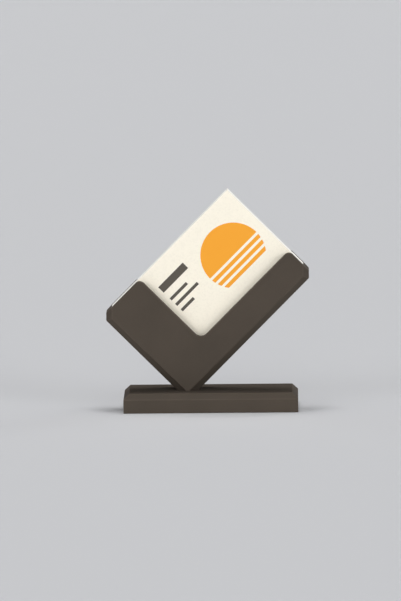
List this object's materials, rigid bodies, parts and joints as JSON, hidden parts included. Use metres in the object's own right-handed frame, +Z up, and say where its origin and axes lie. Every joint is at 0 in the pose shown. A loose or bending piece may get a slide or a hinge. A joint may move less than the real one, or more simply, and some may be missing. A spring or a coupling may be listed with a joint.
{
  "type": "business card holder stand",
  "caption": "Desk stand that shows a stack of business cards on their corner, in a slotted pocket with deep finger cut-outs, on a low bevelled base bar. Each card lifts out.",
  "frame": {"origin": "middle of the base's underside, on the surface that it stands on", "axes": "+X to the right as seen from the front, +Y from the front to the back, +Z up"},
  "size_m": [0.1048, 0.05, 0.1135],
  "materials": {
    "stand_plastic": "smooth satin dark warm grey plastic",
    "card_stock": "uncoated cream card stock"
  },
  "bodies": {
    "stand": {"base": "stand_plastic", "card_pocket": "stand_plastic"},
    "card_01": {"card_01": "card_stock"},
    "card_02": {"card_02": "card_stock"},
    "card_03": {"card_03": "card_stock"},
    "card_04": {"card_04": "card_stock"},
    "card_05": {"card_05": "card_stock"},
    "card_06": {"card_06": "card_stock"},
    "card_07": {"card_07": "card_stock"},
    "card_08": {"card_08": "card_stock"},
    "card_09": {"card_09": "card_stock"},
    "card_10": {"card_10": "card_stock"},
    "card_11": {"card_11": "card_stock"},
    "card_12": {"card_12": "card_stock"},
    "card_13": {"card_13": "card_stock"},
    "card_14": {"card_14": "card_stock"},
    "card_15": {"card_15": "card_stock"},
    "card_16": {"card_16": "card_stock"},
    "card_17": {"card_17": "card_stock"},
    "card_18": {"card_18": "card_stock"},
    "card_19": {"card_19": "card_stock"},
    "card_20": {"card_20": "card_stock"},
    "card_21": {"card_21": "card_stock"},
    "card_22": {"card_22": "card_stock"},
    "card_23": {"card_23": "card_stock"},
    "card_24": {"card_24": "card_stock"}
  },
  "joints": [
    {"name": "card_01_lift", "type": "slide", "parent": "stand", "child": "card_01", "axis": [0, 0, 1], "range_m": [0, 0.07]},
    {"name": "card_02_lift", "type": "slide", "parent": "stand", "child": "card_02", "axis": [0, 0, 1], "range_m": [0, 0.07]},
    {"name": "card_03_lift", "type": "slide", "parent": "stand", "child": "card_03", "axis": [0, 0, 1], "range_m": [0, 0.07]},
    {"name": "card_04_lift", "type": "slide", "parent": "stand", "child": "card_04", "axis": [0, 0, 1], "range_m": [0, 0.07]},
    {"name": "card_05_lift", "type": "slide", "parent": "stand", "child": "card_05", "axis": [0, 0, 1], "range_m": [0, 0.07]},
    {"name": "card_06_lift", "type": "slide", "parent": "stand", "child": "card_06", "axis": [0, 0, 1], "range_m": [0, 0.07]},
    {"name": "card_07_lift", "type": "slide", "parent": "stand", "child": "card_07", "axis": [0, 0, 1], "range_m": [0, 0.07]},
    {"name": "card_08_lift", "type": "slide", "parent": "stand", "child": "card_08", "axis": [0, 0, 1], "range_m": [0, 0.07]},
    {"name": "card_09_lift", "type": "slide", "parent": "stand", "child": "card_09", "axis": [0, 0, 1], "range_m": [0, 0.07]},
    {"name": "card_10_lift", "type": "slide", "parent": "stand", "child": "card_10", "axis": [0, 0, 1], "range_m": [0, 0.07]},
    {"name": "card_11_lift", "type": "slide", "parent": "stand", "child": "card_11", "axis": [0, 0, 1], "range_m": [0, 0.07]},
    {"name": "card_12_lift", "type": "slide", "parent": "stand", "child": "card_12", "axis": [0, 0, 1], "range_m": [0, 0.07]},
    {"name": "card_13_lift", "type": "slide", "parent": "stand", "child": "card_13", "axis": [0, 0, 1], "range_m": [0, 0.07]},
    {"name": "card_14_lift", "type": "slide", "parent": "stand", "child": "card_14", "axis": [0, 0, 1], "range_m": [0, 0.07]},
    {"name": "card_15_lift", "type": "slide", "parent": "stand", "child": "card_15", "axis": [0, 0, 1], "range_m": [0, 0.07]},
    {"name": "card_16_lift", "type": "slide", "parent": "stand", "child": "card_16", "axis": [0, 0, 1], "range_m": [0, 0.07]},
    {"name": "card_17_lift", "type": "slide", "parent": "stand", "child": "card_17", "axis": [0, 0, 1], "range_m": [0, 0.07]},
    {"name": "card_18_lift", "type": "slide", "parent": "stand", "child": "card_18", "axis": [0, 0, 1], "range_m": [0, 0.07]},
    {"name": "card_19_lift", "type": "slide", "parent": "stand", "child": "card_19", "axis": [0, 0, 1], "range_m": [0, 0.07]},
    {"name": "card_20_lift", "type": "slide", "parent": "stand", "child": "card_20", "axis": [0, 0, 1], "range_m": [0, 0.07]},
    {"name": "card_21_lift", "type": "slide", "parent": "stand", "child": "card_21", "axis": [0, 0, 1], "range_m": [0, 0.07]},
    {"name": "card_22_lift", "type": "slide", "parent": "stand", "child": "card_22", "axis": [0, 0, 1], "range_m": [0, 0.07]},
    {"name": "card_23_lift", "type": "slide", "parent": "stand", "child": "card_23", "axis": [0, 0, 1], "range_m": [0, 0.07]},
    {"name": "card_24_lift", "type": "slide", "parent": "stand", "child": "card_24", "axis": [0, 0, 1], "range_m": [0, 0.07]}
  ]
}
